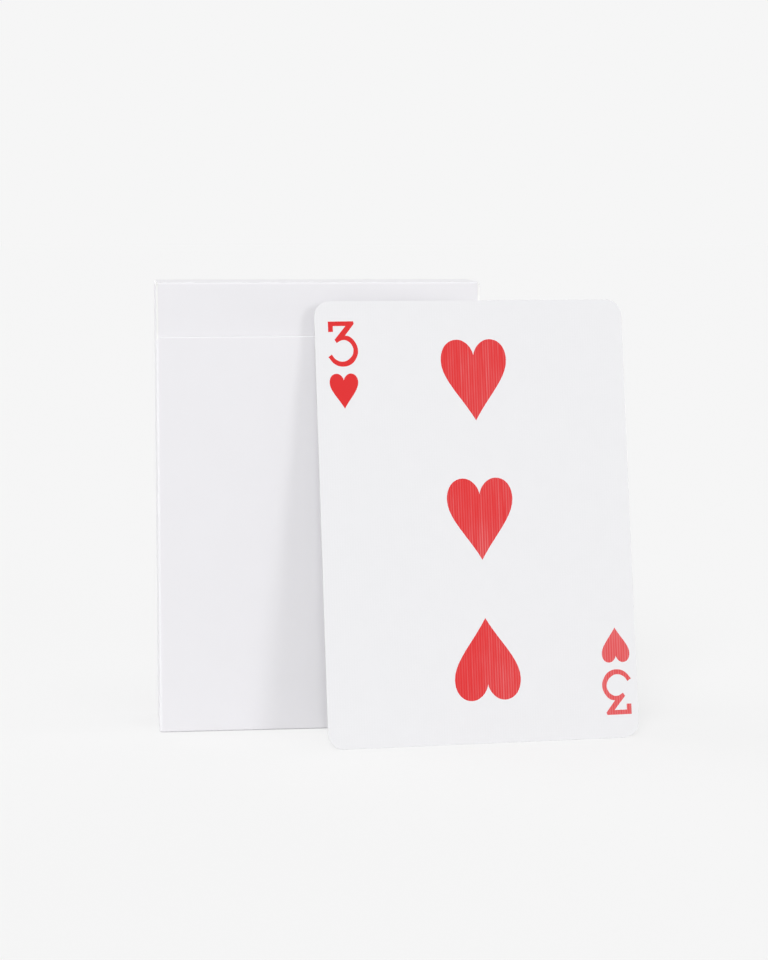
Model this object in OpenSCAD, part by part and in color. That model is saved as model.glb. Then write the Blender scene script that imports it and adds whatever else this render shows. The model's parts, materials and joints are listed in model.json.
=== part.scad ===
// Playing card deck: a tuck carton holding the pack, with one card leaning on its front.
// Origin at the centre of the carton's bottom face, +Z up, front towards -Y.

/* [Cards] */
// Width of a card
card_w = 63.5; // [56:0.1:72]
// Height of a card
card_h = 88.9; // [80:0.1:122]
// Thickness of a card
card_t = 0.282; // [0.25:0.001:0.32]
// Radius of a card's corners
card_corner = 3.175; // [2:0.025:5]
// Air between neighbouring cards in the pack
card_air = 0.004; // [0.002:0.001:0.02]

/* [Carton] */
// Thickness of the carton's board
board = 0.36; // [0.3:0.01:0.45]
// Outside radius of the upright creases
crease_r = 0.6; // [0.5:0.05:1]
// Clearance between the pack and each side wall
side_play = 0.39; // [0.2:0.01:0.8]
// Clearance between the pack and the back wall
back_play = 0.08; // [0.04:0.01:0.3]
// Free height between the pack and the dust flaps
head_play = 0.61; // [0.4:0.01:1.5]
// Free depth between the tuck flap and the pack
front_play = 2.42; // [2.36:0.01:3.5]
// Clearance between the tuck flap and the front panel
tuck_play = 0.21; // [0.2:0.01:0.5]
// Clearance along a crease that folds, and between flaps that lie on each other
fold_gap = 0.05; // [0.03:0.01:0.1]
// Radius of the front panel's upper corners
panel_corner = 0.9; // [0.4:0.1:2]
// Set-back of the side walls' free front edges behind the front face
edge_set = 0.5; // [0.1:0.01:0.55]

/* [Lid] */
// Height of the tuck flap that shows above the front panel
band_h = 10.8; // [9:0.1:14]
// Depth of the tuck flap hidden behind the front panel
tuck_depth = 2; // [1:0.1:2]
// Set-in of the tuck flap's ends from the carton's sides
tuck_inset = 0.41; // [0.4:0.01:1.5]
// Radius of the tuck flap's free corners
tuck_corner = 1.9; // [1:0.1:2]
// Set-in of the lid's ends from the carton's sides
lid_inset = 0.12; // [0.05:0.01:0.4]

/* [Dust flaps] */
// Length of a dust flap from its crease
dust_len = 14; // [8:0.5:20]
// Distance from the tuck flap to the front end of a dust flap's crease
dust_front = 3.2; // [3:0.1:5]
// Distance from the lid's crease to the rear end of a dust flap's crease
dust_rear = 0.8; // [0.6:0.1:3]
// Slope of a dust flap's front edge, in degrees
dust_front_slope = 14; // [13.5:0.5:18]
// Slope of a dust flap's rear edge, in degrees
dust_rear_slope = 15; // [14.5:0.5:18]
// Radius of a dust flap's free corners
dust_corner = 1.5; // [0.5:0.1:2]

/* [Bottom] */
// Length of each inner bottom flap from its side wall
bottom_flap_len = 22; // [15:0.5:26]
// Radius of the inner bottom flaps' free corners
bottom_flap_corner = 1.5; // [0.5:0.1:3]

/* [Leaning card] */
// Backward lean of the loose card, in degrees
lean_angle = 11.1; // [6:0.1:20]
// Turn of the loose card about the vertical, in degrees
turn_angle = 4.4; // [1:0.1:12]
// Sideways place of the loose card's foot, from the carton's middle
lean_shift = 31.6; // [20:0.1:45]
// Clearance between the loose card and the carton
lean_gap = 0.03; // [0.02:0.01:0.1]

/* [Hidden] */
$fn = 64;
white_board = "white";
white_card = "ghostwhite";

SUITS = ["spades", "hearts", "diamonds", "clubs"];
RANKS = ["ace", "two", "three", "four", "five", "six", "seven", "eight", "nine", "ten",
         "jack", "queen", "king"];
LOOSE = "three_of_hearts";
JOKERS = ["first_joker", "second_joker"];
SUITED = [for (suit = SUITS) for (rank = RANKS) str(rank, "_of_", suit)];
PACK = concat(JOKERS, [for (card = SUITED) if (card != LOOSE) card]);

half_board = board / 2;
card_pitch = card_t + card_air;
pack_d = len(PACK) * card_pitch - card_air;
floor_z = 2 * board;

inner_w = card_w + 2 * side_play;
inner_d = tuck_play + board + front_play + pack_d + back_play;
carton_w = inner_w + 2 * board;
carton_d = inner_d + 2 * board;
front_face = -carton_d / 2;
dust_under = floor_z + card_h + head_play;
dust_axis_z = dust_under + half_board;
side_top = dust_under - fold_gap;
back_top = dust_under + board;
lid_under = back_top + fold_gap;
carton_h = lid_under + board;
panel_top = carton_h - band_h;

front_in = -inner_d / 2;
back_in = inner_d / 2;
pack_front = back_in - back_play - pack_d;
lid_axis_y = back_in + half_board;
fold_axis_z = carton_h - half_board;
lid_w = carton_w - 2 * lid_inset;
tuck_back = front_in + tuck_play + board;
tuck_w = carton_w - 2 * tuck_inset;
tuck_tip = panel_top - tuck_depth;
dust_axis_x = inner_w / 2 + half_board;
dust_root_front = tuck_back + dust_front;
dust_root_rear = lid_axis_y - dust_rear;

// The loose card's rear face stands just clear of the right side wall's free front edge.
edge_y = front_face + edge_set;
edge_x = carton_w / 2 - crease_r + sqrt(crease_r ^ 2 - (crease_r - edge_set) ^ 2);
edge_reach = edge_y * cos(turn_angle) - edge_x * sin(turn_angle);
foot_reach = edge_reach - lean_gap - card_h * sin(lean_angle);
foot_y = (foot_reach + lean_shift * sin(turn_angle)) / cos(turn_angle);

// How far a cutter reaches past what it cuts
over = 1;

// A rectangle with four round corners, centred on the origin
module round_rect(w, h, r) {
    square([w, h - 2 * r], center = true);
    square([w - 2 * r, h], center = true);
    for (side = [-1, 1], end = [-1, 1])
        translate([side * (w / 2 - r), end * (h / 2 - r)])
            circle(r);
}

// What rounding takes off a square corner at the origin whose sheet lies towards +X and +Y
module corner_waste(r) {
    difference() {
        translate([-over, -over])
            square(r + over);
        translate([r, r])
            circle(r);
    }
}

// The side view of a flap of the given length: its creased end, at the origin, is half round
module flap_profile(length) {
    translate([0, -half_board])
        square([length, board]);
    circle(half_board);
}

// The side view of a flap that folds about its inner face: at the origin, a quarter round closes
// the outside of the crease
module inward_profile(length) {
    square([length, board]);
    intersection() {
        circle(board);
        translate([-board, 0])
            square(board);
    }
}

// A card standing on z = 0, with its rear face on y = 0 and its printed face towards -Y
module card() {
    rotate([90, 0, 0])
        linear_extrude(card_t)
            translate([0, card_h / 2])
                round_rect(card_w, card_h, card_corner);
}

// Front, back and side panels, one folded sheet with rounded upright creases
module carton_walls() {
    color(white_board)
        difference() {
            linear_extrude(back_top)
                difference() {
                    round_rect(carton_w, carton_d, crease_r);
                    round_rect(inner_w, inner_d, crease_r - board);
                }
            tuck_window();
            side_wall_cuts();
            for (side = [0, 1])
                mirror([side, 0, 0])
                    panel_corner_cut();
        }
}

// The front panel ends here, so the tuck flap shows above it
module tuck_window() {
    translate([-inner_w / 2, front_face - over, panel_top])
        cube([inner_w, crease_r + over, band_h]);
}

// The side walls stop short of the front face beside the window, and below the dust flaps' creases
module side_wall_cuts() {
    translate([-carton_w / 2 - over, front_face - over, panel_top])
        cube([carton_w + 2 * over, edge_set + over, band_h]);
    translate([-carton_w / 2 - over, dust_root_front - fold_gap, side_top])
        cube([carton_w + 2 * over, dust_root_rear - dust_root_front + 2 * fold_gap, band_h]);
}

// One upper corner of the front panel, rounded down to the upright crease
module panel_corner_cut() {
    translate([-carton_w / 2, front_face + edge_set, panel_top])
        rotate([90, 0, 0])
            linear_extrude(edge_set + over)
                mirror([0, 1])
                    corner_waste(panel_corner);
}

// The glued bottom: an outer panel, and the two inner flaps that the pack stands on
module carton_bottom() {
    bottom_w = inner_w - 2 * fold_gap;
    bottom_d = inner_d - 2 * fold_gap;
    color(white_board) {
        linear_extrude(board)
            square([bottom_w, bottom_d], center = true);
        for (side = [0, 1])
            mirror([side, 0, 0])
                translate([-bottom_w / 2, 0, board])
                    linear_extrude(board)
                        bottom_flap(bottom_d);
    }
}

// One inner bottom flap, from its side wall towards +X, with two free round corners
module bottom_flap(depth) {
    difference() {
        translate([0, -depth / 2])
            square([bottom_flap_len, depth]);
        for (end = [0, 1])
            mirror([0, end])
                translate([bottom_flap_len, -depth / 2])
                    mirror([1, 0])
                        corner_waste(bottom_flap_corner);
    }
}

// The top panel, creased along the back wall
module lid() {
    color(white_board)
        translate([-lid_w / 2, lid_axis_y, fold_axis_z])
            rotate([90, 0, 90])
                linear_extrude(lid_w)
                    mirror([1, 0])
                        flap_profile(lid_axis_y - tuck_back - fold_gap);
}

// The flap on the lid's front edge, tucked behind the front panel. It bends inwards as it is drawn
// out, so its fold line is the inner corner between it and the lid.
module tuck_flap() {
    color(white_board)
        difference() {
            translate([-tuck_w / 2, tuck_back, lid_under])
                rotate([90, 0, 90])
                    linear_extrude(tuck_w)
                        rotate(-90)
                            mirror([0, 1])
                                inward_profile(lid_under - tuck_tip);
            for (side = [0, 1])
                mirror([side, 0, 0])
                    translate([-tuck_w / 2, tuck_back + over, tuck_tip])
                        rotate([90, 0, 0])
                            linear_extrude(board + 2 * over)
                                corner_waste(tuck_corner);
        }
}

// The plan of a dust flap: crease along x = 0, narrowing towards a free end with round corners
module dust_plan() {
    taper_from = board;
    corner_at = dust_len - dust_corner;
    run = corner_at - taper_from;
    front_at = dust_root_front + run * tan(dust_front_slope) + dust_corner / cos(dust_front_slope);
    rear_at = dust_root_rear - run * tan(dust_rear_slope) - dust_corner / cos(dust_rear_slope);
    polygon([
        [-board, dust_root_front],
        [taper_from, dust_root_front],
        [corner_at + dust_corner * sin(dust_front_slope), front_at - dust_corner * cos(dust_front_slope)],
        [dust_len, front_at],
        [dust_len, rear_at],
        [corner_at + dust_corner * sin(dust_rear_slope), rear_at + dust_corner * cos(dust_rear_slope)],
        [taper_from, dust_root_rear],
        [-board, dust_root_rear]
    ]);
    translate([corner_at, front_at])
        circle(dust_corner);
    translate([corner_at, rear_at])
        circle(dust_corner);
}

// The dust flap on the left side wall, lying under the lid
module left_dust_flap() {
    color(white_board)
        translate([-dust_axis_x, 0, dust_axis_z])
            intersection() {
                translate([0, dust_root_rear + over, 0])
                    rotate([90, 0, 0])
                        linear_extrude(dust_root_rear - dust_root_front + 2 * over)
                            flap_profile(dust_len + over);
                translate([0, 0, -board])
                    linear_extrude(2 * board)
                        dust_plan();
            }
}

// The dust flap on the right side wall, the left one's mirror image
module right_dust_flap() {
    mirror([1, 0, 0])
        left_dust_flap();
}

// The card that leans on the carton's front
module loose_card() {
    color(white_card)
        translate([lean_shift, foot_y, 0])
            rotate([0, 0, turn_angle])
                rotate([-lean_angle, 0, 0])
                    card();
}

// One card of the pack, counted from the front
module pack_card(place) {
    color(white_card)
        translate([0, pack_front + card_t + place * card_pitch, floor_z])
            card();
}

carton_walls();
carton_bottom();
lid();
tuck_flap();
left_dust_flap();
right_dust_flap();
loose_card();
for (place = [0 : len(PACK) - 1])
    pack_card(place);
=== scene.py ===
# %% [markdown]
# # A playing card deck
# A plain white tuck carton stands upright with its lid closed, and one card, the three of hearts,
# leans on its front. The carton's panels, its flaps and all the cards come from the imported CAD
# frame. This lesson gives them print, paper and light: cards from one Geometry Nodes tree, board
# from softened copies of the CAD sheets, and materials from short node expressions.

import json
import math

import bmesh
import bpy
from mathutils import Matrix, Vector


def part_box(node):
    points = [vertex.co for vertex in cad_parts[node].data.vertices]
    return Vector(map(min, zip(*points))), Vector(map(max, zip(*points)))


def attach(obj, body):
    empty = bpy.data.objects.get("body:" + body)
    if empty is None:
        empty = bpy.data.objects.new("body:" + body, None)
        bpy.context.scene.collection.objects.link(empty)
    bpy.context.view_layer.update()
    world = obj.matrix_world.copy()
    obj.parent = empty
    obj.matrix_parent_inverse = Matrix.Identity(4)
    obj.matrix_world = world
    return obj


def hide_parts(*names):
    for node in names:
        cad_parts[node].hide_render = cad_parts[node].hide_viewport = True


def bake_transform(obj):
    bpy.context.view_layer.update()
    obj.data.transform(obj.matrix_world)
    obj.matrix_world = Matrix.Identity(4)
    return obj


MM = 0.001
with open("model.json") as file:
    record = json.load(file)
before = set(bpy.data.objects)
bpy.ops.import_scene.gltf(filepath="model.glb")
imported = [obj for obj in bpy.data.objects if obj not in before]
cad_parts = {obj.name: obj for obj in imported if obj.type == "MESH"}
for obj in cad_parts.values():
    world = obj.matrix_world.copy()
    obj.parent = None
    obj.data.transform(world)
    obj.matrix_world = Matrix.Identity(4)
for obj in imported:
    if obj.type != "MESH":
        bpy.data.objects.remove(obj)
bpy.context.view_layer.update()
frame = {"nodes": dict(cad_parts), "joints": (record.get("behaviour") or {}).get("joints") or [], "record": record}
joints = {joint["name"]: joint for joint in frame["joints"]}
bodies = frame["record"]["behaviour"]["bodies"]

# %% [markdown]
# ## Node expressions
# Every material below is a sum of simple patterns, and so is the card tree. Writing `0.5 * a + b`
# is easier to read than linking Math nodes one by one, so a small class wraps a socket and lets
# Python's operators add the nodes. All other nodes come from one method, which takes the node's
# type, its settings and the values or links of its sockets.


# %% Wires and nodes
class Wire:
    """An output socket that takes part in arithmetic."""

    def __init__(self, nodes, socket):
        self.nodes = nodes
        self.socket = socket

    def math(self, operation, first, second=0.0):
        return self.nodes.add("ShaderNodeMath", {"operation": operation}, {0: first, 1: second})

    def __add__(self, other):
        return self.math("ADD", self, other)

    def __sub__(self, other):
        return self.math("SUBTRACT", self, other)

    def __rsub__(self, other):
        return self.math("SUBTRACT", other, self)

    def __mul__(self, other):
        return self.math("MULTIPLY", self, other)

    def __abs__(self):
        return self.math("ABSOLUTE", self)

    def __lt__(self, other):
        return self.math("LESS_THAN", self, other)

    def __gt__(self, other):
        return self.math("GREATER_THAN", self, other)

    def sine(self):
        return self.math("SINE", self)

    def largest(self, other):
        return self.math("MAXIMUM", self, other)

    __radd__ = __add__
    __rmul__ = __mul__


class Nodes:
    """A node tree that is filled from Python."""

    def __init__(self, tree):
        self.tree = tree

    def add(self, kind, settings=None, sockets=None, output=0):
        node = self.tree.nodes.new(kind)
        for name, value in (settings or {}).items():
            setattr(node, name, value)
        for name, value in (sockets or {}).items():
            links = value if isinstance(value, list) else [value]
            for link in links:
                if isinstance(link, Wire):
                    self.tree.links.new(link.socket, node.inputs[name])
                else:
                    node.inputs[name].default_value = link
        return Wire(self, node.outputs[output]) if node.outputs else None


# %% [markdown]
# ## Materials: helpers
# A surface starts from a place: the object's own coordinates for board, and the card's own
# coordinates, kept as an attribute, for print. Both are turned into millimetres, because paper
# texture is easiest to think of in millimetres. Paper and board differ in a few levels only, so one
# function finishes them all. A look holds its four levels: the least roughness, what fibre adds to
# it, the specular level, and the height of the relief in millimetres.

# %% Material helpers
TO_MM = 1 / MM
MIX_FACTOR, MIX_A, MIX_B, MIX_COLOUR = 0, 6, 7, 2
CARD_PLACE = "card_place"
X_AXIS, Y_AXIS, Z_AXIS = "X", "Y", "Z"
SOFT_DETAIL = 3.0


def grey(level):
    return (level, level, level, 1.0)


def new_material(name):
    material = bpy.data.materials.new(name)
    material.use_nodes = True
    material.node_tree.nodes.clear()
    return material, Nodes(material.node_tree)


def in_mm(nodes, vector):
    sockets = {0: vector, "Scale": TO_MM}
    return nodes.add("ShaderNodeVectorMath", {"operation": "SCALE"}, sockets)


def object_place(nodes):
    return in_mm(nodes, nodes.add("ShaderNodeTexCoord", output="Object"))


def card_place(nodes):
    settings = {"attribute_name": CARD_PLACE}
    return in_mm(nodes, nodes.add("ShaderNodeAttribute", settings, output="Vector"))


def along(nodes, vector, axis):
    return nodes.add("ShaderNodeSeparateXYZ", sockets={0: vector}, output=axis)


def noise(nodes, place, per_mm, detail=SOFT_DETAIL):
    sockets = {"Vector": place, "Scale": per_mm, "Detail": detail}
    return nodes.add("ShaderNodeTexNoise", {"noise_dimensions": "3D"}, sockets)


def mix(nodes, factor, first, second):
    sockets = {MIX_FACTOR: factor, MIX_A: first, MIX_B: second}
    return nodes.add("ShaderNodeMix", {"data_type": "RGBA"}, sockets, output=MIX_COLOUR)


def shared(share, first, second):
    """A share of the first pattern, and the second for the rest."""
    return share * first + (1 - share) * second


def bump(nodes, height, depth_mm):
    sockets = {"Height": height, "Distance": depth_mm * MM, "Strength": 1.0}
    return nodes.add("ShaderNodeBump", sockets=sockets)


def finish(nodes, look, colour, fibre, height):
    least_rough, fibre_rough, specular, depth_mm = look
    shader = nodes.add("ShaderNodeBsdfPrincipled", sockets={
        "Base Color": colour,
        "Roughness": least_rough + fibre_rough * fibre,
        "Specular IOR Level": specular,
        "Normal": bump(nodes, height, depth_mm),
    })
    nodes.add("ShaderNodeOutputMaterial", sockets={"Surface": shader})


print("materials measure in millimetres,", round(TO_MM), "to the metre")


# %% [markdown]
# ## The carton's board
# Carton board is a sheet of bleached fibre. Its outer side is coated smooth and has a faint satin
# sheen, its inner side is bare and rougher, and its cut edge shows the layers of fibre. Each gets a
# material: slow mottling in the colour, and fine fibre in the bump and the roughness.

# %% Board materials
COATED_WHITE = (0.838, 0.830, 0.856, 1.0)
COATED_SHADE = (0.816, 0.808, 0.832, 1.0)
BARE_WHITE = (0.80, 0.79, 0.765, 1.0)
BARE_SHADE = (0.72, 0.71, 0.68, 1.0)
EDGE_WHITE = (0.94, 0.94, 0.93, 1.0)
EDGE_SHADE = (0.86, 0.86, 0.85, 1.0)
COATED_LOOK = (0.44, 0.12, 0.35, 0.03)
BARE_LOOK = (0.75, 0.15, 0.30, 0.03)
CUT_LOOK = (0.70, 0.20, 0.30, 0.02)
MOTTLE_PER_MM = 0.12
MOTTLE_IN_COLOUR = 0.7
MOTTLE_IN_HEIGHT = 0.65
FIBRE_PER_MM = 5.0
FIBRE_DETAIL = 5.0
LAYER_PER_MM = 14.0
LAYER_DETAIL = 4.0


def coated_board():
    material, nodes = new_material("coated board")
    place = object_place(nodes)
    mottle = noise(nodes, place, MOTTLE_PER_MM)
    fibre = noise(nodes, place, FIBRE_PER_MM)
    colour = mix(nodes, shared(MOTTLE_IN_COLOUR, mottle, fibre), COATED_SHADE, COATED_WHITE)
    finish(nodes, COATED_LOOK, colour, fibre, shared(MOTTLE_IN_HEIGHT, mottle, fibre))
    return material


def bare_board():
    material, nodes = new_material("bare board")
    fibre = noise(nodes, object_place(nodes), FIBRE_PER_MM, FIBRE_DETAIL)
    colour = mix(nodes, fibre, BARE_SHADE, BARE_WHITE)
    finish(nodes, BARE_LOOK, colour, fibre, fibre)
    return material


def cut_edge():
    material, nodes = new_material("cut board edge")
    fibre = noise(nodes, object_place(nodes), LAYER_PER_MM, LAYER_DETAIL)
    colour = mix(nodes, fibre, EDGE_SHADE, EDGE_WHITE)
    finish(nodes, CUT_LOOK, colour, fibre, fibre)
    return material


BOARD_FINISHES = [coated_board(), bare_board(), cut_edge()]
OUTSIDE, INSIDE, CUT = range(len(BOARD_FINISHES))
print("board finishes:", [material.name for material in BOARD_FINISHES])

# %% [markdown]
# ## Softened board pieces
# The CAD sheets have knife-sharp edges, which no cut board has. Each sheet is copied, its loose
# triangles are joined, and its surface is split into smooth regions: a panel with its rounded
# creases is one region, and the strip of board that a cut lays bare is another. Narrow regions get
# the cut edge's material, and the corners between regions get a small bevel that catches the light.
# The front panel's rim and the carton's foot are handled most and are rounder. The tuck flap's solid
# has a little play at its ends, which real board fills, so its copy is a hair wider.

# %% Copy and soften a sheet
SHARP = math.radians(40)
FLAT = math.radians(0.5)
JOIN_WITHIN = 1e-6
CUT_WIDTH = 2 * MM
EDGE_ROUND = 0.045 * MM
EDGE_STEPS = 3
CIRCULAR = 0.5
RIM_ROUND = 0.22 * MM
FOOT_ROUND = 0.32 * MM
fold = Vector(joints["tuck_flap_hinge"]["pos_m"])
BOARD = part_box("lid")[1].z - fold.z
carton_low, carton_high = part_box("carton_walls")
carton_middle = (carton_low + carton_high) / 2
FLAP_PLAY = 0.04 * MM
flap_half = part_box("tuck_flap")[1].x
flap_spread = (flap_half + FLAP_PLAY) / flap_half


def smooth_regions(sheet):
    """Groups of faces that meet at less than a sharp angle."""
    left = set(sheet.faces)
    regions = []
    while left:
        queue = [left.pop()]
        region = []
        while queue:
            face = queue.pop()
            region.append(face)
            for edge in face.edges:
                if edge.calc_face_angle(math.pi) < SHARP:
                    near = [other for other in edge.link_faces if other in left]
                    left.difference_update(near)
                    queue.extend(near)
        regions.append(region)
    return regions


def is_cut(region):
    corners = [vert.co for face in region for vert in face.verts]
    spans = [max(c[i] for c in corners) - min(c[i] for c in corners) for i in range(3)]
    return sum(face.calc_area() for face in region) < CUT_WIDTH * max(spans)


def paint_regions(sheet):
    for region in smooth_regions(sheet):
        cut = is_cut(region)
        for face in region:
            inwards = face.normal.dot(carton_middle - face.calc_center_median()) > 0
            face.material_index = CUT if cut else INSIDE if inwards else OUTSIDE


def all_ends(edge, test):
    return all(test(vert.co) for vert in edge.verts)


def on_floor(point):
    return point.z < JOIN_WITHIN


def on_front(point):
    return point.y < carton_low.y + JOIN_WITHIN


def at_fold(point):
    """Whether a point lies where the lid and the tuck flap run into each other."""
    return math.hypot(point.y - fold.y, point.z - fold.z) < BOARD + JOIN_WITHIN


def rounded(sheet, edges, width, material):
    bmesh.ops.bevel(sheet, geom=edges, offset=width, segments=EDGE_STEPS, profile=CIRCULAR,
                    affect="EDGES", clamp_overlap=True, material=material)


def soften(sheet):
    sharp = [edge for edge in sheet.edges if edge.calc_face_angle(0.0) > SHARP]
    foot = [edge for edge in sharp if all_ends(edge, on_floor)]
    outer_foot = [edge for edge in foot
                  if OUTSIDE in [face.material_index for face in edge.link_faces]]
    rim = [edge for edge in sharp if edge not in foot and all_ends(edge, on_front)]
    free = [edge for edge in sharp if edge not in foot + rim and not all_ends(edge, at_fold)]
    for edges, width, material in [(rim, RIM_ROUND, OUTSIDE), (free, EDGE_ROUND, CUT),
                                   (outer_foot, FOOT_ROUND, OUTSIDE)]:
        rounded(sheet, [edge for edge in edges if edge.is_valid], width, material)


def trim_above(sheet, point):
    """Cut a sheet level with a point, and close it there."""
    parts = sheet.verts[:] + sheet.edges[:] + sheet.faces[:]
    cut = bmesh.ops.bisect_plane(sheet, geom=parts, plane_co=point, plane_no=(0, 0, 1),
                                 clear_outer=True)
    rim = [part for part in cut["geom_cut"] if isinstance(part, bmesh.types.BMEdge)]
    bmesh.ops.holes_fill(sheet, edges=rim)


def evaluated(holder):
    """The plain mesh that an object's modifiers make. The object itself goes."""
    seen = bpy.context.evaluated_depsgraph_get()
    mesh = bpy.data.meshes.new_from_object(holder.evaluated_get(seen))
    bpy.data.objects.remove(holder)
    return mesh


def with_flat_panels(mesh):
    """Large faces keep their own normals, and the bevels take up the turn."""
    holder = bpy.data.objects.new("holder", mesh)
    bpy.context.scene.collection.objects.link(holder)
    holder.modifiers.new("panel normals", "WEIGHTED_NORMAL").keep_sharp = True
    return evaluated(holder)


def add_piece(name, mesh, body, slot, *nodes):
    piece = bpy.data.objects.new(name, mesh)
    bpy.context.scene.collection.objects.link(piece)
    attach(piece, body)
    if nodes:
        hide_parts(*nodes)
    return piece


def add_finishes(mesh):
    for material in BOARD_FINISHES:
        mesh.materials.append(material)
    mesh.shade_smooth()
    mesh.set_sharp_from_angle(angle=SHARP)


def board_piece(node, body):
    sheet = bmesh.new()
    sheet.from_mesh(frame["nodes"][node].data)
    bmesh.ops.remove_doubles(sheet, verts=sheet.verts, dist=JOIN_WITHIN)
    bmesh.ops.dissolve_limit(sheet, angle_limit=FLAT, verts=sheet.verts, edges=sheet.edges)
    if body == "tuck_flap":
        trim_above(sheet, fold)
    paint_regions(sheet)
    soften(sheet)
    mesh = bpy.data.meshes.new("board_" + node)
    sheet.to_mesh(mesh)
    sheet.free()
    add_finishes(mesh)
    mesh = with_flat_panels(mesh)
    if body == "tuck_flap":
        mesh.transform(Matrix.Diagonal((flap_spread, 1, 1, 1)))
    return add_piece("board_" + node, mesh, body, "carton_board", node)


BOARD_BODIES = ["carton", "lid", "tuck_flap", "left_dust_flap", "right_dust_flap"]
for body in BOARD_BODIES:
    for node in bodies[body]:
        piece = board_piece(node, body)
        print(piece.name, len(piece.data.polygons), "faces")

# %% [markdown]
# ## The front crease
# The lid and the tuck flap are one sheet, and the board bends where they meet. The flap was trimmed
# level with its fold line, and a quarter-round strip takes over the bend.

# %% Bend the board at the front crease
BEND_STEPS = 10
bend_end = flap_half * flap_spread


def face_outwards(mesh):
    skin = bmesh.new()
    skin.from_mesh(mesh)
    bmesh.ops.recalc_face_normals(skin, faces=skin.faces)
    skin.to_mesh(mesh)
    skin.free()


def bend_section(x):
    """The strip's end at x: the fold line, then the arc from the lid's top to the flap's front."""
    turns = [math.pi / 2 * (1 + i / BEND_STEPS) for i in range(BEND_STEPS + 1)]
    arc = [(x, fold.y + BOARD * math.cos(a), fold.z + BOARD * math.sin(a)) for a in turns]
    return [(x, fold.y, fold.z)] + arc


def build_crease():
    points = bend_section(-bend_end) + bend_section(bend_end)
    count = BEND_STEPS + 2
    sides = [(i, (i + 1) % count, (i + 1) % count + count, i + count) for i in range(count)]
    ends = [tuple(range(count)), tuple(range(count, 2 * count))]
    mesh = bpy.data.meshes.new("board_front_crease")
    mesh.from_pydata(points, [], sides + ends)
    face_outwards(mesh)
    add_finishes(mesh)
    for face in mesh.polygons[-len(ends):]:
        face.material_index = CUT
    piece = bpy.data.objects.new("board_front_crease", mesh)
    bpy.context.scene.collection.objects.link(piece)
    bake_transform(piece)
    return piece


crease = build_crease()
print(crease.name, "bends", round(BOARD * TO_MM, 2), "mm board")

# %% [markdown]
# ## Card stock and ink
# Cards are embossed with a linen pattern, two crossed sets of fine ridges about half a millimetre
# apart, which lets them glide. Print doesn't reach into the furrows everywhere, so a solid pip shows
# faint upright streaks. The inks are also painted paler and streakier towards the card's right: a
# painted sheen, the glossy reflection of the light there. Paper, inks and the printed back share one
# linen height and read the card's own place, so the pattern follows a card wherever it lies.

# %% Card materials
card_low, card_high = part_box(bodies["pack"][0])
CARD_W = card_high.x - card_low.x
CARD_H = card_high.z - card_low.z
CARD_T = card_high.y - card_low.y
CARD_LOOK = (0.40, 0.10, 0.30, 0.004)
LINEN_PITCH = 0.52
LINEN_UPRIGHT = 0.65
PAPER_WHITE = (0.802, 0.802, 0.818, 1.0)
PAPER_SHADE = (0.786, 0.786, 0.802, 1.0)
# Each ink has a full colour and a paler one; the paler one is ink thin in the furrows and also the painted sheen.
RED_INK = (0.70, 0.012, 0.014, 1.0)
RED_THIN_AND_SHEEN = (0.73, 0.14, 0.147, 1.0)
BLACK_INK = (0.012, 0.012, 0.013, 1.0)
BLACK_THIN_AND_SHEEN = (0.045, 0.045, 0.047, 1.0)
# Painted sheen: none at the card's left edge, growing to most at its right.
SHEEN_AT_MIDDLE = 0.42
SHEEN_SLOPE = 0.016
INK_PATCHES = 0.9
EVEN_SHEEN = 0.5
PATCH_PER_MM = 0.06
NOISE_MEAN = 0.5
STREAK_PER_MM = 1.9
STREAK_SHAPE = (1.0, 0.04, 1.0)
STREAK_GAIN, STREAK_CUT = 4.0, 1.0


def ridges(distance):
    return 0.5 + 0.5 * (distance * (2 * math.pi / LINEN_PITCH)).sine()


def linen(nodes, place):
    """Height of the pressed pattern: upright ridges crossed by fainter level ones."""
    upright = ridges(along(nodes, place, X_AXIS))
    level = ridges(along(nodes, place, Y_AXIS))
    return upright, shared(LINEN_UPRIGHT, upright, level)


def card_surface(name, colour_of):
    """colour_of takes the nodes, the place and the upright ridges, and gives a colour."""
    material, nodes = new_material(name)
    place = card_place(nodes)
    upright, height = linen(nodes, place)
    fibre = noise(nodes, place, FIBRE_PER_MM)
    finish(nodes, CARD_LOOK, colour_of(nodes, place, upright), fibre, height)
    return material


def printed(thin, full):
    """Ink that is thin in the linen's furrows, in streaks, and a painted sheen that pales it towards the right."""
    def colour_of(nodes, place, upright):
        across = along(nodes, place, X_AXIS)
        drawn_out = nodes.add("ShaderNodeMapping", sockets={"Vector": place, "Scale": STREAK_SHAPE})
        streaks = STREAK_GAIN * noise(nodes, drawn_out, STREAK_PER_MM) - STREAK_CUT
        patches = INK_PATCHES * (noise(nodes, place, PATCH_PER_MM) - NOISE_MEAN)
        # Painted sheen that grows towards the right, with random patches of thin ink.
        thin_ink_and_sheen = (SHEEN_AT_MIDDLE + SHEEN_SLOPE * across + patches).largest(0.0)
        grooves_and_sheen = (1.0 - upright) * streaks + EVEN_SHEEN * thin_ink_and_sheen * thin_ink_and_sheen
        return mix(nodes, 1.0 - thin_ink_and_sheen * grooves_and_sheen, thin, full)
    return colour_of


print("a card is", [round(size * TO_MM, 3) for size in (CARD_W, CARD_H, CARD_T)], "mm")

# %% [markdown]
# ## The printed back
# The photograph shows no back, but the shade between the leaning card and the carton is a clean
# grey, so the back has no strong colour. It gets a common pattern: thin dark lines that cross as a
# lattice, a small diamond in each cell and a line round them, inside a white border. Two slanting
# waves make the lattice, and the border comes from the larger of the two distances to the edges.

# %% Card back material
BACK_INK = (0.035, 0.036, 0.040, 1.0)
BORDER = 4.0
FRAME_LINE = 0.35
FRAME_GAP = 0.6
LATTICE_PITCH = 3.2
LINE_LEVEL = 0.16
DIAMOND_LEVEL = 0.9
PAPER_PER_MM = 0.3


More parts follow.
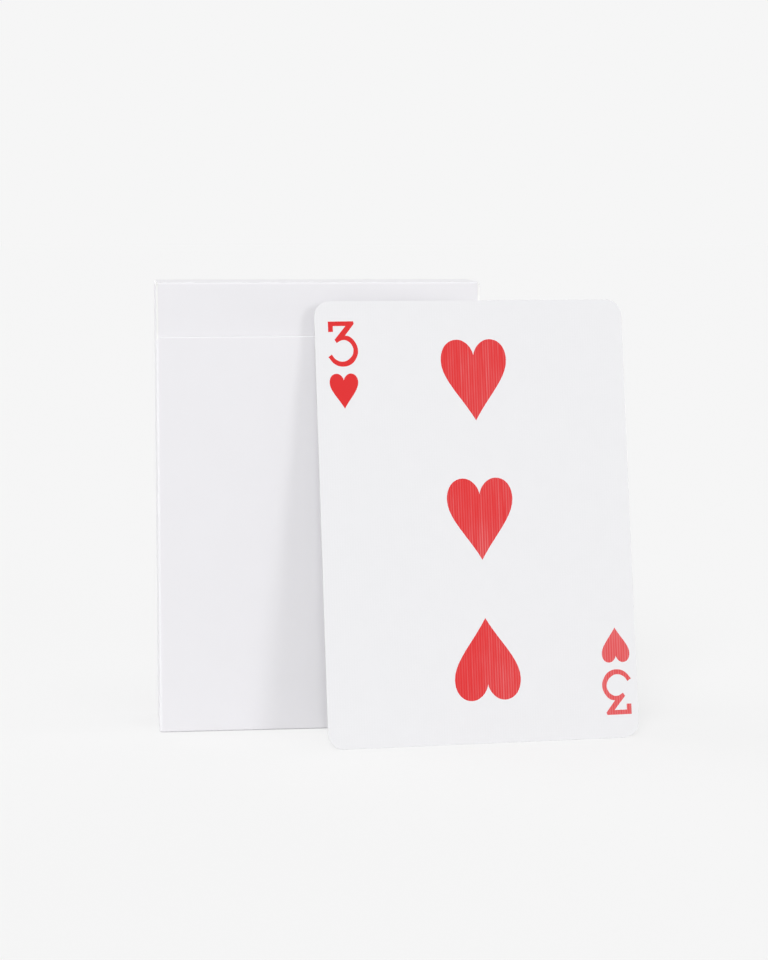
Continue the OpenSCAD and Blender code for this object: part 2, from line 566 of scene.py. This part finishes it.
def back_print(nodes, place, upright):
    across, up = along(nodes, place, X_AXIS), along(nodes, place, Y_AXIS)
    turn = math.pi / LATTICE_PITCH
    rising, falling = abs((turn * (across - up)).sine()), abs((turn * (across + up)).sine())
    lines = (rising < LINE_LEVEL).largest(falling < LINE_LEVEL)
    diamonds = (rising > DIAMOND_LEVEL) * (falling > DIAMOND_LEVEL)
    spare = (CARD_W - CARD_H) * TO_MM / 2
    reach = abs(across).largest(abs(up) + spare) - CARD_W * TO_MM / 2
    ring = (reach < -BORDER) - (reach < -BORDER - FRAME_LINE)
    panel = reach < -BORDER - FRAME_LINE - FRAME_GAP
    return mix(nodes, ring + panel * lines.largest(diamonds), PAPER_WHITE, BACK_INK)


def paper_colour(nodes, place, upright):
    return mix(nodes, noise(nodes, place, PAPER_PER_MM), PAPER_SHADE, PAPER_WHITE)


PAPER = card_surface("linen card paper", paper_colour)
RED = card_surface("red ink", printed(RED_THIN_AND_SHEEN, RED_INK))
BLACK = card_surface("black ink", printed(BLACK_THIN_AND_SHEEN, BLACK_INK))
BACK = card_surface("printed card back", back_print)
print("card surfaces:", [material.name for material in (PAPER, RED, BLACK, BACK)])

# %% [markdown]
# ## The cut edge of a card
# A knife cuts a whole sheet of cards at once. Each edge is white in its middle and darker towards
# the two faces: painted shade, for the thin crevices between the cards of a pack. So a closed pack
# shows fine lines on its top. The third power of the distance from the middle keeps the dark close to
# the faces.

# %% Card edge material
EDGE_LOOK = (0.60, 0.20, 0.50, 0.01)
# The edge's colour in its middle, and its painted shade at the two faces.
EDGE_MIDDLE, EDGE_FACE_SHADE = 0.84, 0.52
FACE_SHADE_SHARE = 0.7


def card_edge():
    material, nodes = new_material("card edge")
    fibre = noise(nodes, object_place(nodes), LAYER_PER_MM, LAYER_DETAIL)
    from_middle = abs(along(nodes, card_place(nodes), Z_AXIS)) * (2 * MM / CARD_T)
    # Painted shade towards the faces, mixed with fibre.
    face_shade_and_fibre = shared(FACE_SHADE_SHARE, from_middle * from_middle * from_middle, fibre)
    finish(nodes, EDGE_LOOK, mix(nodes, face_shade_and_fibre, grey(EDGE_MIDDLE), grey(EDGE_FACE_SHADE)), fibre, fibre)
    return material


EDGE = card_edge()
print("edge finish:", EDGE.name)

# %% [markdown]
# ## Pips and numerals
# Each symbol is drawn once as a closed outline in millimetres, as a sign painter would draw it: a
# few corners and a few round points that a curve passes through. Blender's Bezier handles do the
# rounding. The heart is the one seen large in the photograph, so its handles are given exactly.

# %% Draw the symbols
ROUND = True


def spline(curve, outline):
    """A closed Bezier spline. A knot is (u, v), (u, v, ROUND) or (u, v, handle, handle)."""
    made = curve.splines.new("BEZIER")
    made.bezier_points.add(len(outline) - 1)
    made.use_cyclic_u = True
    for point, knot in zip(made.bezier_points, outline):
        point.co = (knot[0] * MM, knot[1] * MM, 0)
        kind = "VECTOR"
        if len(knot) == 3:
            kind = "AUTO"
        if len(knot) == 4:
            kind = "FREE"
        point.handle_left_type = kind
        point.handle_right_type = kind
        if kind == "FREE":
            point.handle_left = (knot[2][0] * MM, knot[2][1] * MM, 0)
            point.handle_right = (knot[3][0] * MM, knot[3][1] * MM, 0)


def mirrored(half):
    """A whole outline from its right half, which runs from top to bottom."""
    whole = list(half)
    for knot in reversed(half):
        if knot[0] == 0:
            continue
        flipped = (-knot[0],) + tuple(knot[1:])
        whole.append(flipped)
    return whole


HEART = [
    (0, 5.03, (-0.24, 6.62), (0.24, 6.62)),
    (3.32, 8.21, (1.72, 8.21), (5.57, 8.21)),
    (6.755, 4.0, (6.755, 6.24), (6.755, 0.2)),
    (0, -8.21, (2.67, -3.47), (-2.67, -3.47)),
    (-6.755, 4.0, (-6.755, 0.2), (-6.755, 6.24)),
    (-3.32, 8.21, (-5.57, 8.21), (-1.72, 8.21)),
]
THREE = [
    (-2.86, 4.54), (2.24, 4.54), (2.39, 4.02), (0.53, 1.69), (1.41, 1.46, ROUND),
    (2.45, 0.42, ROUND), (3.03, -1.25, ROUND), (2.66, -2.81, ROUND), (1.62, -4.06, ROUND),
    (-0.15, -4.54, ROUND), (-1.72, -4.06, ROUND), (-3.03, -2.60), (-2.30, -2.08),
    (-1.61, -2.98, ROUND), (-0.15, -3.54, ROUND), (1.20, -3.01, ROUND), (2.03, -1.77, ROUND),
    (1.93, -0.52, ROUND), (0.99, 0.57, ROUND), (-0.05, 0.77, ROUND), (-1.24, 0.21),
    (-1.65, 0.88), (0.68, 3.61), (-1.88, 3.61), (-1.88, 2.44), (-2.86, 2.44),
]
TWO = [
    (-3, -4.54), (3, -4.54), (3, -2.44), (2.02, -2.44), (2.02, -3.56), (-1.45, -3.56),
    (2.3, 0.35, ROUND), (3.03, 1.9, ROUND), (2.2, 3.85, ROUND), (0, 4.54, ROUND),
    (-2.2, 3.75, ROUND), (-3, 2), (-2.05, 1.8), (-1.5, 3, ROUND), (0, 3.56, ROUND),
    (1.5, 3.1, ROUND), (2.05, 1.9, ROUND), (1.4, 0.75, ROUND), (-3, -3.75),
]
FOUR = [
    (0.9, 4.54), (1.9, 4.54), (1.9, -1.5), (3, -1.5), (3, -2.48), (1.9, -2.48), (1.9, -3.56),
    (2.8, -3.56), (2.8, -4.54), (0, -4.54), (0, -3.56), (0.92, -3.56), (0.92, -2.48),
    (-3, -2.48), (-3, -1.7),
]
FOUR_HOLE = [(0.92, 2.9), (-1.85, -1.5), (0.92, -1.5)]
FIVE = [
    (-2.4, 4.54), (2.5, 4.54), (2.5, 3.56), (-1.42, 3.56), (-1.42, 1.3), (0, 1.75, ROUND),
    (2.2, 0.85, ROUND), (3.03, -1.4, ROUND), (2.2, -3.6, ROUND), (0, -4.54, ROUND),
    (-2, -3.95, ROUND), (-3, -2.5), (-2.15, -2), (-1.4, -3.1, ROUND), (0, -3.56, ROUND),
    (1.45, -2.95, ROUND), (2.05, -1.4, ROUND), (1.45, 0.15, ROUND), (0, 0.77, ROUND),
    (-1, 0.45, ROUND), (-1.6, -0.2), (-2.4, -0.2),
]
SIX = [
    (1.6, 4.54), (-1.2, 2.6, ROUND), (-2.7, -0.1, ROUND), (-3.03, -1.6, ROUND),
    (-2.15, -3.65, ROUND), (0, -4.54, ROUND), (2.15, -3.65, ROUND), (3.03, -1.5, ROUND),
    (2.15, 0.65, ROUND), (0.2, 1.52, ROUND), (-0.7, 1.35), (0.6, 2.9, ROUND), (2.6, 4),
]
SIX_HOLE = [
    (0, 0.55, ROUND), (1.45, -0.05, ROUND), (2.05, -1.5, ROUND), (1.45, -2.95, ROUND),
    (0, -3.56, ROUND), (-1.45, -2.95, ROUND), (-2.05, -1.5, ROUND), (-1.45, -0.05, ROUND),
]
SEVEN = [
    (-2.86, 4.54), (3, 4.54), (3, 3.75), (0.2, -4.54), (-0.9, -4.54), (1.75, 3.56),
    (-1.88, 3.56), (-1.88, 2.44), (-2.86, 2.44),
]
EIGHT = mirrored([
    (0, 4.54, ROUND), (1.7, 3.9, ROUND), (2.4, 2.4, ROUND), (1.65, 0.75, ROUND),
    (2.6, -0.4, ROUND), (3.03, -1.95, ROUND), (2.1, -3.85, ROUND), (0, -4.54, ROUND),
])
EIGHT_HOLES = [
    mirrored([(0, 3.6, ROUND), (1, 3.2, ROUND), (1.42, 2.4, ROUND), (1, 1.45, ROUND),
              (0, 1.15, ROUND)]),
    mirrored([(0, 0.2, ROUND), (1.5, -0.4, ROUND), (2.05, -1.85, ROUND), (1.45, -3.05, ROUND),
              (0, -3.56, ROUND)]),
]
ONE = [(-2.75, 4.54), (-1.85, 4.54), (-1.85, -4.54), (-2.75, -4.54)]
NOUGHT = [
    (1.05, 4.54, ROUND), (2.55, 3.1, ROUND), (3.0, 0, ROUND), (2.55, -3.1, ROUND),
    (1.05, -4.54, ROUND), (-0.45, -3.1, ROUND), (-0.9, 0, ROUND), (-0.45, 3.1, ROUND),
]
NOUGHT_HOLE = [
    (1.05, 3.56, ROUND), (1.8, 2.5, ROUND), (2.1, 0, ROUND), (1.8, -2.5, ROUND),
    (1.05, -3.56, ROUND), (0.3, -2.5, ROUND), (0, 0, ROUND), (0.3, 2.5, ROUND),
]
ACE = mirrored([
    (0.6, 4.54), (2.45, -3.56), (3.1, -3.56), (3.1, -4.54), (0.9, -4.54), (0.9, -3.56),
    (1.42, -3.56), (1.1, -2.1),
])
ACE_HOLE = [(0, 2.9), (0.9, -1.12), (-0.9, -1.12)]
JACK = [
    (-0.3, 4.54), (2.6, 4.54), (2.6, 3.56), (1.9, 3.56), (1.9, -1.9, ROUND), (1.2, -3.9, ROUND),
    (-0.6, -4.54, ROUND), (-2.3, -3.8, ROUND), (-2.9, -2.2), (-1.95, -1.95),
    (-1.55, -3.1, ROUND), (-0.6, -3.56, ROUND), (0.5, -3.15, ROUND), (0.92, -1.9, ROUND),
    (0.92, 3.56), (-0.3, 3.56),
]
QUEEN = [
    (0, 4.54, ROUND), (2, 3.3, ROUND), (2.75, 0.4, ROUND), (2.15, -2.3, ROUND), (1.85, -2.75),
    (2.95, -3.95), (2.3, -4.54), (1.2, -3.45), (0, -3.75, ROUND), (-2, -2.5, ROUND),
    (-2.75, 0.4, ROUND), (-2, 3.3, ROUND),
]
QUEEN_HOLE = [
    (0, 3.56, ROUND), (1.25, 2.6, ROUND), (1.8, 0.4, ROUND), (1.4, -1.6, ROUND),
    (0, -2.75, ROUND), (-1.3, -1.85, ROUND), (-1.8, 0.4, ROUND), (-1.25, 2.6, ROUND),
]
KING = [
    (-2.9, 4.54), (-0.7, 4.54), (-0.7, 3.56), (-1.32, 3.56), (-1.32, 0.5), (1.3, 3.56),
    (0.75, 3.56), (0.75, 4.54), (3, 4.54), (3, 3.56), (2.55, 3.56), (-0.05, 0.55),
    (2.35, -3.56), (3.1, -3.56), (3.1, -4.54), (0.9, -4.54), (0.9, -3.56), (1.25, -3.56),
    (-0.65, -0.15), (-1.32, -0.95), (-1.32, -3.56), (-0.7, -3.56), (-0.7, -4.54),
    (-2.9, -4.54), (-2.9, -3.56), (-2.3, -3.56), (-2.3, 3.56), (-2.9, 3.56),
]
DIAMOND = mirrored([(0, 8.2), (2.75, 3.75, ROUND), (6.2, 0), (2.75, -3.75, ROUND), (0, -8.2)])
SPADE = mirrored([
    (0, 8.2), (2.9, 4.1, ROUND), (5.9, 0.3, ROUND), (6.6, -2.2, ROUND), (5.2, -4.7, ROUND),
    (3, -5.2, ROUND), (1.2, -4.2, ROUND), (0.55, -3.4), (0.95, -6, ROUND), (2.7, -8.2),
])
CLUB = mirrored([
    (0, 8.1, ROUND), (2.6, 7, ROUND), (3.7, 4.4, ROUND), (2.9, 2.1, ROUND), (1.75, 1.15),
    (3.4, 2.1, ROUND), (5.9, 1.1, ROUND), (6.8, -1.3, ROUND), (5.8, -3.8, ROUND),
    (3.4, -4.75, ROUND), (1.3, -4, ROUND), (0.6, -3.2), (0.95, -6, ROUND), (2.7, -8.2),
])


def upside_down(outline):
    return [(-knot[0], -knot[1]) + tuple(knot[2:]) for knot in outline]


def rectangle(half_w, half_h):
    return [(-half_w, -half_h), (half_w, -half_h), (half_w, half_h), (-half_w, half_h)]


def star(points, outer, inner):
    """A star with its first point at the top."""
    step = math.pi / points
    reach = [outer, inner] * points
    return [(r * math.sin(i * step), r * math.cos(i * step)) for i, r in enumerate(reach)]


COURT_W, COURT_H, COURT_LINE = 21.0, 38.0, 0.4
COURT_FRAME = [rectangle(COURT_W, COURT_H), rectangle(COURT_W - COURT_LINE, COURT_H - COURT_LINE)]
MIDDLE_W, MIDDLE_LINE = 19.5, 0.3
COURT_MIDDLE = [rectangle(MIDDLE_W, MIDDLE_LINE)]
COURT_BUST = mirrored([
    (0, 13.5, ROUND), (3.2, 12, ROUND), (3.9, 9.2, ROUND), (2.9, 6.6, ROUND), (1.8, 5.6),
    (4.5, 4.6, ROUND), (9.5, 3.2, ROUND), (12.5, 0.9),
])
JACK_CROWN = mirrored([(0, 20), (1.6, 16.6), (4.6, 18.8), (4, 14.2)])
QUEEN_CROWN = mirrored([(0, 20.2), (1.1, 17.2), (2.5, 19.8), (3.1, 17), (4.9, 19), (4.2, 14.2)])
KING_CROWN = mirrored([
    (0.45, 22.4), (0.45, 21.4), (1.3, 21.4), (1.3, 20.5), (0.45, 20.5), (0.45, 19), (1.3, 17.4),
    (3.1, 19.7), (3.6, 17), (5.2, 18.8), (4.3, 14.2),
])
STAR_POINTS = 5
JOKER_STAR = [star(STAR_POINTS, 15, 6.2), star(STAR_POINTS, 12.6, 5.2)]
INDEX_STAR = [star(STAR_POINTS, 4.2, 1.75)]
SYMBOLS = {
    "hearts": [HEART], "diamonds": [DIAMOND], "spades": [SPADE], "clubs": [CLUB],
    "ace": [ACE, ACE_HOLE], "two": [TWO], "three": [THREE], "four": [FOUR, FOUR_HOLE],
    "five": [FIVE], "six": [SIX, SIX_HOLE], "seven": [SEVEN], "eight": [EIGHT] + EIGHT_HOLES,
    "nine": [upside_down(SIX), upside_down(SIX_HOLE)], "ten": [ONE, NOUGHT, NOUGHT_HOLE],
    "jack": [JACK], "queen": [QUEEN, QUEEN_HOLE], "king": [KING],
    "jack figure": [COURT_BUST, JACK_CROWN], "queen figure": [COURT_BUST, QUEEN_CROWN],
    "king figure": [COURT_BUST, KING_CROWN], "court frame": COURT_FRAME,
    "court middle": COURT_MIDDLE, "star": JOKER_STAR, "small star": INDEX_STAR,
}
CURVE_STEPS = 10
MANY_KNOTS = 10
drawings = bpy.data.collections.new("card symbols")
symbol_index = {}
for name, outlines in SYMBOLS.items():
    symbol_index[name] = len(symbol_index)
    curve = bpy.data.curves.new(name, "CURVE")
    curve.dimensions = "2D"
    curve.fill_mode = "NONE"
    most_knots = max(len(outline) for outline in outlines)
    curve.resolution_u = CURVE_STEPS if most_knots < MANY_KNOTS else CURVE_STEPS // 2
    for outline in outlines:
        spline(curve, outline)
    drawings.objects.link(bpy.data.objects.new(f"symbol_{symbol_index[name]:02d}", curve))
print("drew", len(symbol_index), "symbols")

# %% [markdown]
# ## One tree for every card
# A card is a rule: a rounded rectangle, with symbols at given points. So one Geometry Nodes tree
# makes them all. Its object holds only the points, each with the number, size and turn of the
# symbol that goes there. Filling the card's outline together with the symbols leaves paper with
# holes, filling the symbols alone gives the ink that closes those holes, and both share their
# points, so the face is one flat skin with two materials.

# %% The card tree
CORNER_STEPS = 8
CARD_INPUTS = {
    "Points": "NodeSocketGeometry",
    "Width": "NodeSocketFloat",
    "Height": "NodeSocketFloat",
    "Thickness": "NodeSocketFloat",
    "Corner radius": "NodeSocketFloat",
    "Symbols": "NodeSocketCollection",
    "Paper": "NodeSocketMaterial",
    "Ink": "NodeSocketMaterial",
    "Back": "NodeSocketMaterial",
    "Edge": "NodeSocketMaterial",
}


def named(nodes, name, kind):
    return nodes.add("GeometryNodeInputNamedAttribute", {"data_type": kind}, {"Name": name})


def filled(nodes, curves, material):
    face = nodes.add("GeometryNodeFillCurve", {"mode": "TRIANGLES"}, {"Curve": curves})
    return nodes.add("GeometryNodeSetMaterial", sockets={"Geometry": face, "Material": material})


def moved(nodes, geometry, height):
    shift = nodes.add("ShaderNodeCombineXYZ", sockets={"Z": height})
    return nodes.add("GeometryNodeTransform", sockets={"Geometry": geometry, "Translation": shift})


def build_card_tree():
    tree = bpy.data.node_groups.new("printed card", "GeometryNodeTree")
    for name, kind in CARD_INPUTS.items():
        tree.interface.new_socket(name, in_out="INPUT", socket_type=kind)
    tree.interface.new_socket("Card", in_out="OUTPUT", socket_type="NodeSocketGeometry")
    nodes = Nodes(tree)
    group_input = tree.nodes.new("NodeGroupInput")
    given = {name: Wire(nodes, group_input.outputs[name]) for name in CARD_INPUTS}
    box = nodes.add("GeometryNodeCurvePrimitiveQuadrilateral", {"mode": "RECTANGLE"},
                    {"Width": given["Width"], "Height": given["Height"]})
    outline = nodes.add("GeometryNodeFilletCurve", {"mode": "POLY"},
                        {"Curve": box, "Count": CORNER_STEPS, "Radius": given["Corner radius"]})
    shapes = nodes.add("GeometryNodeCollectionInfo", sockets={
        "Collection": given["Symbols"], "Separate Children": True, "Reset Children": True})
    turn = nodes.add("ShaderNodeCombineXYZ", sockets={"Z": named(nodes, "turn", "FLOAT")})
    placed = nodes.add("GeometryNodeInstanceOnPoints", sockets={
        "Points": given["Points"], "Instance": shapes, "Pick Instance": True,
        "Instance Index": named(nodes, "symbol", "INT"), "Rotation": turn,
        "Scale": named(nodes, "size", "FLOAT_VECTOR")})
    symbols = nodes.add("GeometryNodeRealizeInstances", sockets={"Geometry": placed})
    together = nodes.add("GeometryNodeJoinGeometry", sockets={"Geometry": [outline, symbols]})
    half = 0.5 * given["Thickness"]
    paper = moved(nodes, filled(nodes, together, given["Paper"]), half)
    ink = moved(nodes, filled(nodes, symbols, given["Ink"]), half)
    back = moved(nodes, filled(nodes, outline, given["Back"]), -1.0 * half)
    loop = nodes.add("GeometryNodeCurveToMesh", sockets={"Curve": moved(nodes, outline, half)})
    down = nodes.add("ShaderNodeCombineXYZ", sockets={"Z": -1.0 * given["Thickness"]})
    rim = nodes.add("GeometryNodeExtrudeMesh", {"mode": "EDGES"},
                    {"Mesh": loop, "Offset": down, "Offset Scale": 1.0})
    rim = nodes.add("GeometryNodeSetMaterial", sockets={"Geometry": rim, "Material": given["Edge"]})
    card = nodes.add("GeometryNodeJoinGeometry", sockets={"Geometry": [paper, ink, back, rim]})
    card = nodes.add("GeometryNodeMergeByDistance",
                     sockets={"Geometry": card, "Distance": JOIN_WITHIN})
    place = nodes.add("GeometryNodeInputPosition")
    card = nodes.add("GeometryNodeStoreNamedAttribute",
                     {"data_type": "FLOAT_VECTOR", "domain": "POINT"},
                     {"Geometry": card, "Name": CARD_PLACE, "Value": place})
    group_output = tree.nodes.new("NodeGroupOutput")
    tree.links.new(card.socket, group_output.inputs["Card"])
    return tree


CARD_TREE = build_card_tree()
INPUT_ID = {item.name: item.identifier for item in CARD_TREE.interface.items_tree
            if item.in_out == "INPUT"}
print("the card tree has", len(CARD_TREE.nodes), "nodes")

# %% [markdown]
# ## Making a card
# A card's layout is a list of symbols with places in millimetres from the card's middle. The list
# becomes points with attributes, the tree runs once, and the result is kept as a plain mesh that is
# moved to where the CAD card stands.

# %% Run the tree
CORNER_RADIUS = 3.175 * MM


def layout_points(layout):
    mesh = bpy.data.meshes.new("layout")
    mesh.from_pydata([(u * MM, v * MM, 0) for _, u, v, _, _ in layout], [], [])
    kinds = {"symbol": "INT", "turn": "FLOAT", "size": "FLOAT_VECTOR"}
    for name, kind in kinds.items():
        mesh.attributes.new(name, kind, "POINT")
    for i, (symbol, _, _, size, turn) in enumerate(layout):
        mesh.attributes["symbol"].data[i].value = symbol_index[symbol]
        mesh.attributes["turn"].data[i].value = turn
        mesh.attributes["size"].data[i].vector = (size, size, 1)
    return mesh


def card_mesh(name, layout, ink):
    maker = bpy.data.objects.new("card_maker", layout_points(layout))
    bpy.context.scene.collection.objects.link(maker)
    modifier = maker.modifiers.new("printed card", "NODES")
    modifier.node_group = CARD_TREE
    values = {"Width": CARD_W, "Height": CARD_H, "Thickness": CARD_T,
              "Corner radius": CORNER_RADIUS, "Symbols": drawings,
              "Paper": PAPER, "Ink": ink, "Back": BACK, "Edge": EDGE}
    for key, value in values.items():
        modifier[INPUT_ID[key]] = value
    mesh = evaluated(maker)
    mesh.name = name
    face_outwards(mesh)
    return mesh


# %% [markdown]
# ## The three of hearts
# On the leaning card the print sits a little right of and above the middle and slightly turned, as
# real sheets are never cut quite true. The card's place comes from its joint: the slide's axis is
# the normal of its face.

# %% Place the three of hearts
PRINT_SHIFT = Vector((0.66, 0.28))
PRINT_TURN = math.radians(0.43)
PIP_ROW = 28.03
INDEX_U, INDEX_V = 26.55, 35.75
SMALL_U, SMALL_V, SMALL_SIZE = 26.65, 26.3, 0.428


def both_ends(symbol, u, v, size):
    """A symbol at one place, and again upside down at the opposite place."""
    return [(symbol, u, v, size, 0.0), (symbol, -u, -v, size, math.pi)]


def out_of_true(layout):
    turned = Matrix.Rotation(PRINT_TURN, 2)
    moved_to = [turned @ Vector((u, v)) + PRINT_SHIFT for _, u, v, _, _ in layout]
    return [(symbol, place.x, place.y, size, turn + PRINT_TURN)
            for (symbol, _, _, size, turn), place in zip(layout, moved_to)]


def three_layout():
    layout = both_ends("three", -INDEX_U, INDEX_V, 1.0)
    layout += both_ends("hearts", -SMALL_U, SMALL_V, SMALL_SIZE)
    layout += both_ends("hearts", 0, PIP_ROW, 1.0)
    layout.append(("hearts", 0, 0, 1.0, 0.0))
    return out_of_true(layout)


LOOSE = bodies["loose_card"][0]
normal = Vector(joints["loose_card_lift_off"]["axis"]).normalized()
level = Vector((-normal.y, normal.x, 0)).normalized()
upright = normal.cross(level)
loose_low, loose_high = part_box(LOOSE)
middle = (loose_low + loose_high) / 2
loose_place = Matrix((level, upright, normal)).transposed().to_4x4()
loose_place.translation = middle
mesh = card_mesh("printed_" + LOOSE, three_layout(), RED)
mesh.transform(loose_place)
piece = add_piece("printed_" + LOOSE, mesh, "loose_card", "card_stock", LOOSE)
print(piece.name, len(mesh.polygons), "faces")

# %% [markdown]
# ## The rest of the pack
# The other cards stand in the carton. Their faces follow the usual rules: pips in rows and columns,
# upside down below the middle, and a numeral with a small pip in two corners. Court cards get a
# plain crowned bust, drawn twice about the middle, and the jokers a star. The names of the CAD
# nodes say which card is which.

# %% Lay out and place the pack
PIP_COLUMN = 13.0
SIDES = [(-1, 1), (1, 1), (-1, -1), (1, -1)]
THIRDS = [(-1, 1 / 3), (1, 1 / 3), (-1, -1 / 3), (1, -1 / 3)]
WAIST = [(-1, 0), (1, 0)]
PIPS = {
    "ace": [(0, 0)], "two": [(0, 1), (0, -1)], "three": [(0, 1), (0, 0), (0, -1)], "four": SIDES,
    "five": SIDES + [(0, 0)], "six": SIDES + WAIST, "seven": SIDES + WAIST + [(0, 0.5)],
    "eight": SIDES + WAIST + [(0, 0.5), (0, -0.5)], "nine": SIDES + THIRDS + [(0, 0)],
    "ten": SIDES + THIRDS + [(0, 2 / 3), (0, -2 / 3)],
}
PIP_SIZES = {"ace": 1.6, "seven": 0.92, "eight": 0.92, "nine": 0.92, "ten": 0.92}
COURT_PIP = (-15.0, 30.5, 0.6)


def court_layout(rank, suit):
    layout = [("court frame", 0, 0, 1.0, 0.0), ("court middle", 0, 0, 1.0, 0.0)]
    layout += both_ends(rank + " figure", 0, 0, 1.0)
    return layout + both_ends(suit, *COURT_PIP)


def pip_layout(rank, suit):
    size = PIP_SIZES.get(rank, 1.0)
    return [(suit, u * PIP_COLUMN, v * PIP_ROW, size, math.pi if v < 0 else 0.0)
            for u, v in PIPS[rank]]


def face_of(node):
    """A card's layout and ink, from its name."""
    if node.endswith("joker"):
        layout = both_ends("small star", -INDEX_U, INDEX_V, 1.0)
        layout.append(("star", 0, 0, 1.0, 0.0))
        return layout, RED if node.startswith("first") else BLACK
    rank, suit = node.split("_of_")
    layout = both_ends(rank, -INDEX_U, INDEX_V, 1.0)
    layout += both_ends(suit, -SMALL_U, SMALL_V, SMALL_SIZE)
    layout += pip_layout(rank, suit) if rank in PIPS else court_layout(rank, suit)
    return layout, RED if suit in ("hearts", "diamonds") else BLACK


STANDING = Matrix(((1, 0, 0), (0, 0, -1), (0, 1, 0))).to_4x4()
triangles = 0
for node in bodies["pack"]:
    low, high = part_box(node)
    layout, ink = face_of(node)
    mesh = card_mesh("printed_" + node, layout, ink)
    mesh.transform(Matrix.Translation((low + high) / 2) @ STANDING)
    add_piece("printed_" + node, mesh, "pack", "card_stock", node)
    triangles += sum(len(face.vertices) - 2 for face in mesh.polygons)
print(len(bodies["pack"]), "cards in the carton,", triangles, "triangles")

# %% [markdown]
# ## Light and floor
# The photograph is a bright product shot: an even white surround, and one broad soft light close to
# the camera that hides its own shadow behind the object. A white world gives the surround and a
# wide sun gives the light. A weaker sun from the right throws the leaning card's shade on the
# carton. Seen by the camera, the floor is partly a light of its own, so that it meets the surround
# without a seam. Beside and behind the carton this glow fades by how much of the sky is hidden
# there, which leaves the faint patch of shade at the foot.

# %% Light and floor
SURROUND = 0.921
WORLD_LEVEL = 0.31
FLOOR_SIZE = 12.0
FLOOR_BOUNCE = 0.5
FLOOR_GLOW = 0.8
GLOW_LEVEL = 0.932
GLOW_NEAR = 0.77
SHADE_REACH = 60 * MM
SHADE_SAMPLES = 32
SHADE_START, SHADE_FULL = -16.0, 2.0
# Each lamp has a strength and, in degrees, its width, its azimuth and its elevation.
LAMPS = {
    "soft front light": (2.12, 28, -15, 36),
    "soft right light": (0.43, 16, 32, 11),
    "soft left light": (2.85, 60, -108, 5),
    "soft back light": (0.95, 70, 165, 8),
}


def seen_directly(nodes):
    return nodes.add("ShaderNodeLightPath", output="Is Camera Ray")


def build_world():
    world = bpy.data.worlds.new("white surround")
    world.use_nodes = True
    world.node_tree.nodes.clear()
    nodes = Nodes(world.node_tree)
    light = nodes.add("ShaderNodeBackground", sockets={"Color": grey(1.0), "Strength": WORLD_LEVEL})
    shown = nodes.add("ShaderNodeBackground", sockets={"Color": grey(SURROUND), "Strength": 1.0})
    blend = nodes.add("ShaderNodeMixShader", sockets={0: seen_directly(nodes), 1: light, 2: shown})
    nodes.add("ShaderNodeOutputWorld", sockets={"Surface": blend})
    bpy.context.scene.world = world


def build_floor():
    material, nodes = new_material("pale floor")
    seen = seen_directly(nodes)
    colour = mix(nodes, seen, grey(FLOOR_BOUNCE), grey(SURROUND))
    lit = nodes.add("ShaderNodeBsdfDiffuse", sockets={"Color": colour})
    open_sky = nodes.add("ShaderNodeAmbientOcclusion", {"samples": SHADE_SAMPLES},
                         {"Distance": SHADE_REACH}, output="AO")
    behind = nodes.add("ShaderNodeMapRange", {"interpolation_type": "SMOOTHSTEP"}, {
        "Value": along(nodes, object_place(nodes), Y_AXIS),
        "From Min": SHADE_START, "From Max": SHADE_FULL})
    shade = mix(nodes, behind * (1.0 - open_sky), grey(GLOW_LEVEL), grey(GLOW_NEAR))
    glow = nodes.add("ShaderNodeEmission", sockets={"Color": shade})
    surface = nodes.add("ShaderNodeMixShader", sockets={0: FLOOR_GLOW * seen, 1: lit, 2: glow})
    nodes.add("ShaderNodeOutputMaterial", sockets={"Surface": surface})
    half = FLOOR_SIZE / 2
    mesh = bpy.data.meshes.new("floor")
    mesh.from_pydata([(-half, -half, 0), (half, -half, 0), (half, half, 0), (-half, half, 0)],
                     [], [(0, 1, 2, 3)])
    mesh.materials.append(material)
    floor = bpy.data.objects.new("floor", mesh)
    bpy.context.scene.collection.objects.link(floor)


def build_lamp(name, strength, angle, azimuth, elevation):
    """A wide sun. Azimuth counts from the front towards the right, in degrees."""
    lamp = bpy.data.lights.new(name, "SUN")
    lamp.energy = strength
    lamp.angle = math.radians(angle)
    turn, rise = math.radians(azimuth), math.radians(elevation)
    level = math.cos(rise)
    source = Vector((level * math.sin(turn), -level * math.cos(turn), math.sin(rise)))
    placed = bpy.data.objects.new(name, lamp)
    placed.rotation_euler = source.to_track_quat("Z", "Y").to_euler()
    bpy.context.scene.collection.objects.link(placed)


build_world()
build_floor()
for name, settings in LAMPS.items():
    build_lamp(name, *settings)
bpy.context.scene.view_settings.view_transform = "Standard"
print("lamps:", list(LAMPS))

# %% [markdown]
# ## Camera
# The camera was found from the photograph. With the leaning card at its real size, the camera's
# place, direction and lens were adjusted until the card's outline fell where the photograph has it.
# A long lens from half a metre away keeps the carton's upright edges nearly parallel.

# %% Place the camera
CAMERA_AT = Vector((-42.95, -478.01, 106.13)) * MM
YAW, PITCH, ROLL = (math.radians(angle) for angle in (6.823, 6.66, 0.12))
SENSOR_MM = 36.0
LENS_MM = 87.96
NEAREST = 10 * MM


def build_camera():
    lens = bpy.data.cameras.new("photo camera")
    lens.sensor_fit = "VERTICAL"
    lens.sensor_height = SENSOR_MM
    lens.lens = LENS_MM
    lens.clip_start = NEAREST
    camera = bpy.data.objects.new("photo camera", lens)
    level = math.cos(PITCH)
    aim = Vector((level * math.sin(YAW), level * math.cos(YAW), -math.sin(PITCH)))
    turn = aim.to_track_quat("-Z", "Y").to_matrix() @ Matrix.Rotation(ROLL, 3, "Z")
    camera.matrix_world = Matrix.Translation(CAMERA_AT) @ turn.to_4x4()
    bpy.context.scene.collection.objects.link(camera)
    bpy.context.scene.camera = camera


build_camera()
print("the camera is", round(CAMERA_AT.length * TO_MM), "mm from the carton's foot")
